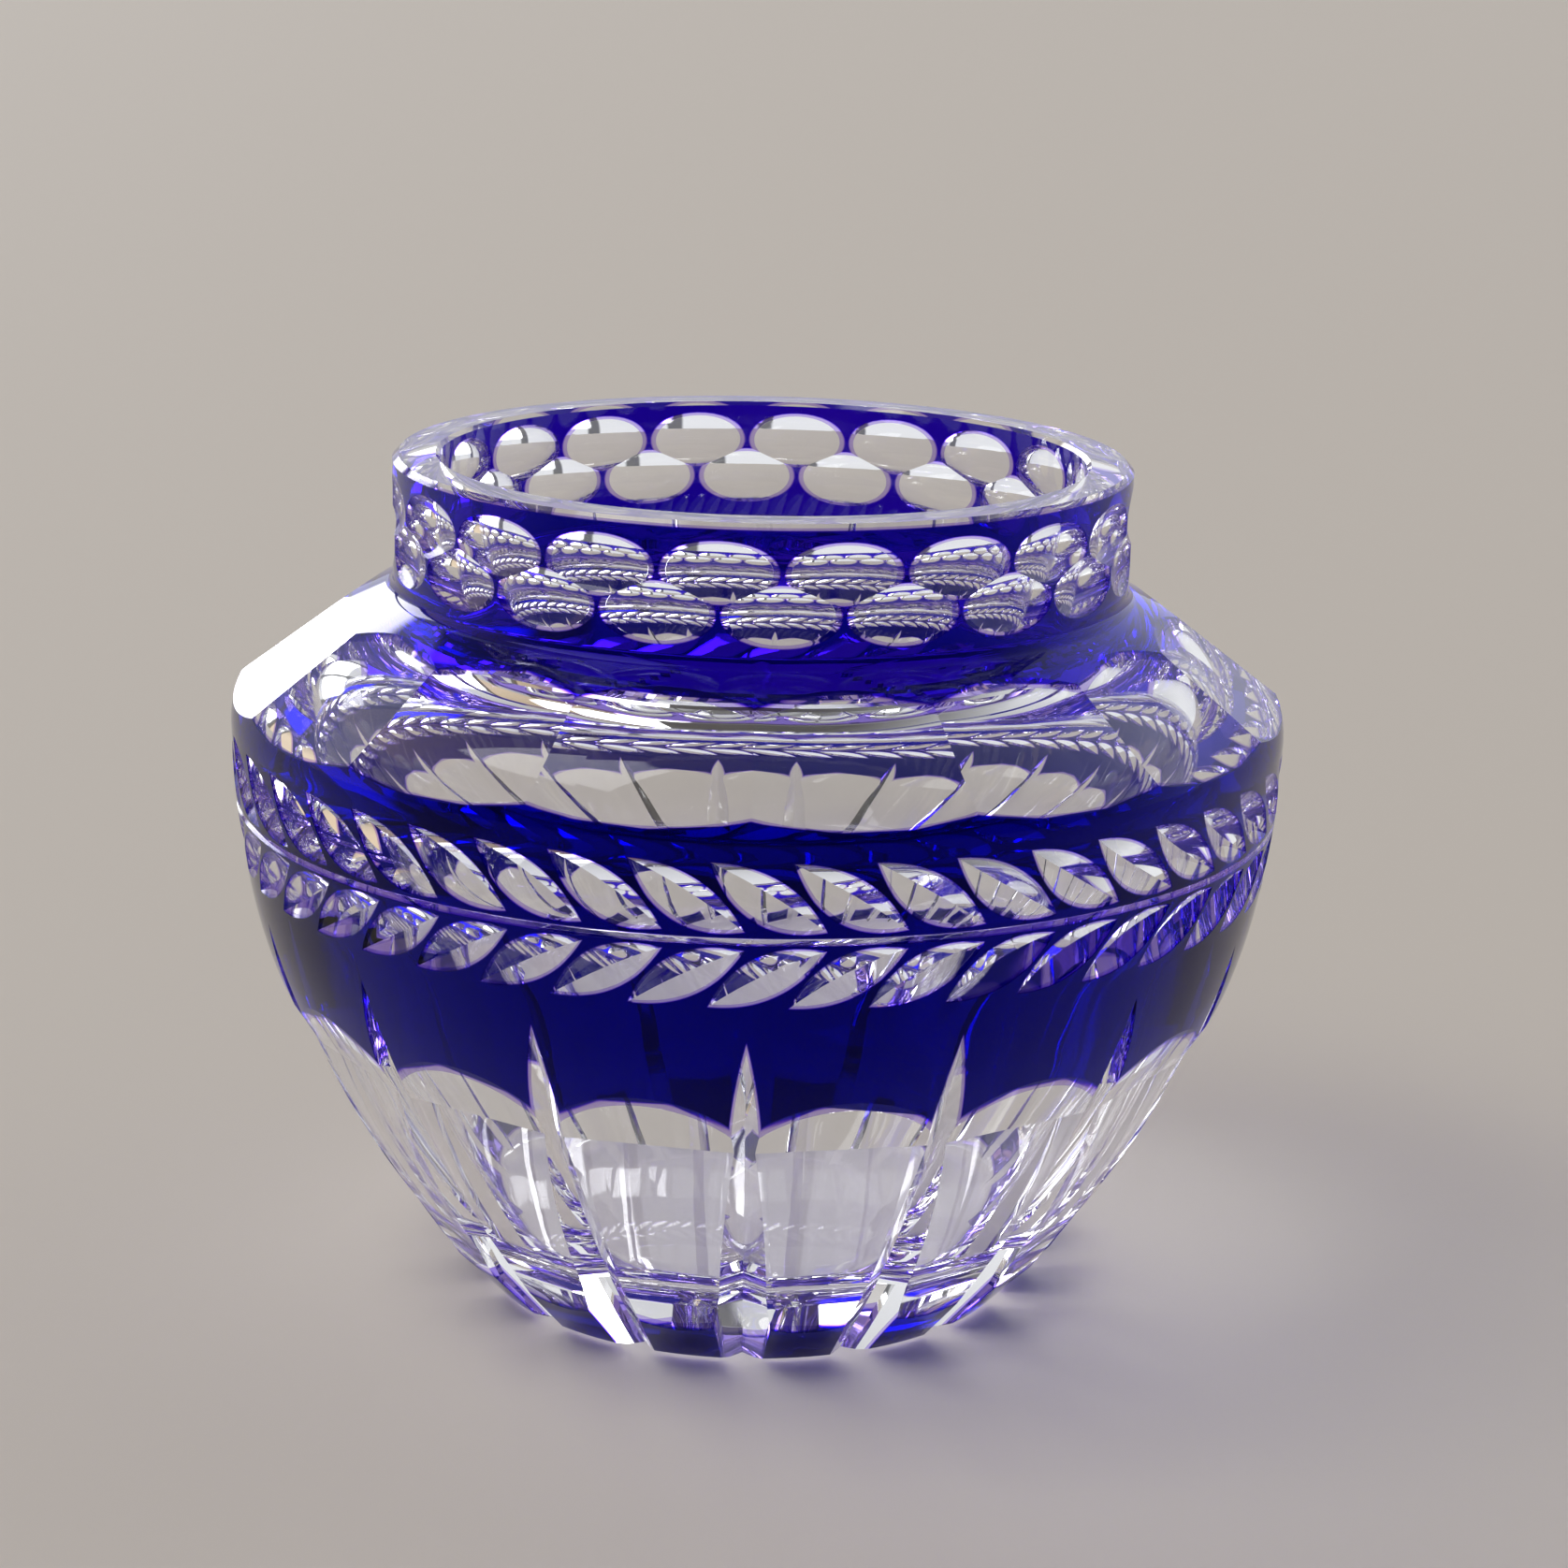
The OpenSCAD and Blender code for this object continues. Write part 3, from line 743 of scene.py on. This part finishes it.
def world():
    """A pale room, darker on the viewer's side, with a window behind on the left and a softbox above."""
    room = bpy.data.worlds.new("room")
    scene.world = room
    room.use_nodes = True
    tree = room.node_tree

    def math_node(operation, first, second=None):
        node = tree.nodes.new("ShaderNodeMath")
        node.operation = operation
        for socket, value in zip(node.inputs, (first, second)):
            if isinstance(value, (int, float)):
                socket.default_value = value
            elif value is not None:
                tree.links.new(value, socket)
        return node.outputs["Value"]

    def band(value, low, high, soft):
        """One between low and high degrees, zero outside, with soft edges."""
        middle, half = math.radians(low + high) / 2, math.radians(high - low) / 2
        off = math_node("ABSOLUTE", math_node("SUBTRACT", value, middle))
        edge = tree.nodes.new("ShaderNodeMapRange")
        edge.interpolation_type = "SMOOTHSTEP"
        edge.inputs["From Min"].default_value = half + math.radians(soft)
        edge.inputs["From Max"].default_value = half
        tree.links.new(off, edge.inputs["Value"])
        return edge.outputs["Result"]

    place = tree.nodes.new("ShaderNodeTexCoord")
    split = tree.nodes.new("ShaderNodeSeparateXYZ")
    tree.links.new(place.outputs["Generated"], split.inputs["Vector"])
    side = math_node("ARCTAN2", split.outputs["X"], split.outputs["Y"])
    height = math_node("ARCSINE", split.outputs["Z"])

    def total(values):
        return functools.reduce(lambda a, b: math_node("ADD", a, b), values)

    def pane(left, right, low, high, strength):
        across_pane = band(side, left, right, PANE_SIDE_BLUR)
        up_pane = band(height, low, high, PANE_END_BLUR)
        lit = math_node("MULTIPLY", across_pane, up_pane)
        return math_node("MULTIPLY", lit, strength)

    light = total(pane(*p) for p in PANES)
    ramp = tree.nodes.new("ShaderNodeValToRGB")
    ramp.color_ramp.elements[0].position = FRONT_END
    ramp.color_ramp.elements[0].color = (*ROOM_FRONT, 1)
    ramp.color_ramp.elements[1].position = BACK_START
    ramp.color_ramp.elements[1].color = (*ROOM_BACK, 1)
    span = tree.nodes.new("ShaderNodeMapRange")
    span.inputs["From Min"].default_value = -1.0
    tree.links.new(split.outputs["Y"], span.inputs["Value"])
    tree.links.new(span.outputs["Result"], ramp.inputs["Fac"])
    cloth = tree.nodes.new("ShaderNodeMix")
    cloth.data_type = "RGBA"
    cloth.inputs[7].default_value = (*CURTAIN_COLOUR, 1)
    tree.links.new(band(side, *CURTAIN, CURTAIN_BLUR), cloth.inputs["Factor"])
    tree.links.new(ramp.outputs["Color"], cloth.inputs[6])
    frames = total(band(side, left, right, FRAME_BLUR) for left, right in FRAMES)
    shade = math_node("SUBTRACT", 1.0, math_node("MULTIPLY", frames, 1 - FRAME_SHADE))
    dim = tree.nodes.new("ShaderNodeMapRange")
    dim.inputs["From Min"].default_value = CEILING_START
    dim.inputs["To Min"].default_value = 1.0
    dim.inputs["To Max"].default_value = CEILING
    tree.links.new(split.outputs["Z"], dim.inputs["Value"])
    back = tree.nodes["Background"]
    tree.links.new(cloth.outputs[2], back.inputs["Color"])
    tree.links.new(math_node("MULTIPLY", dim.outputs["Result"], shade), back.inputs["Strength"])
    lamps = tree.nodes.new("ShaderNodeBackground")
    tree.links.new(light, lamps.inputs["Strength"])
    both = tree.nodes.new("ShaderNodeAddShader")
    tree.links.new(back.outputs["Background"], both.inputs[0])
    tree.links.new(lamps.outputs["Background"], both.inputs[1])
    tree.links.new(both.outputs["Shader"], tree.nodes["World Output"].inputs["Surface"])


def camera():
    lens = bpy.data.cameras.new("camera")
    lens.lens = LENS
    lens.sensor_width = SENSOR
    obj = bpy.data.objects.new("camera", lens)
    tilt, roll = Matrix.Rotation(CAMERA_TILT, 4, "X"), Matrix.Rotation(CAMERA_ROLL, 4, "Z")
    obj.matrix_world = Matrix.Translation(CAMERA_PLACE) @ tilt @ roll
    scene.collection.objects.link(obj)
    scene.camera = obj


floor()
world()
camera()

for kind in ("max_bounces", "transmission_bounces", "glossy_bounces", "transparent_max_bounces"):
    setattr(scene.cycles, kind, GLASS_BOUNCES)
scene.view_settings.view_transform = "Standard"
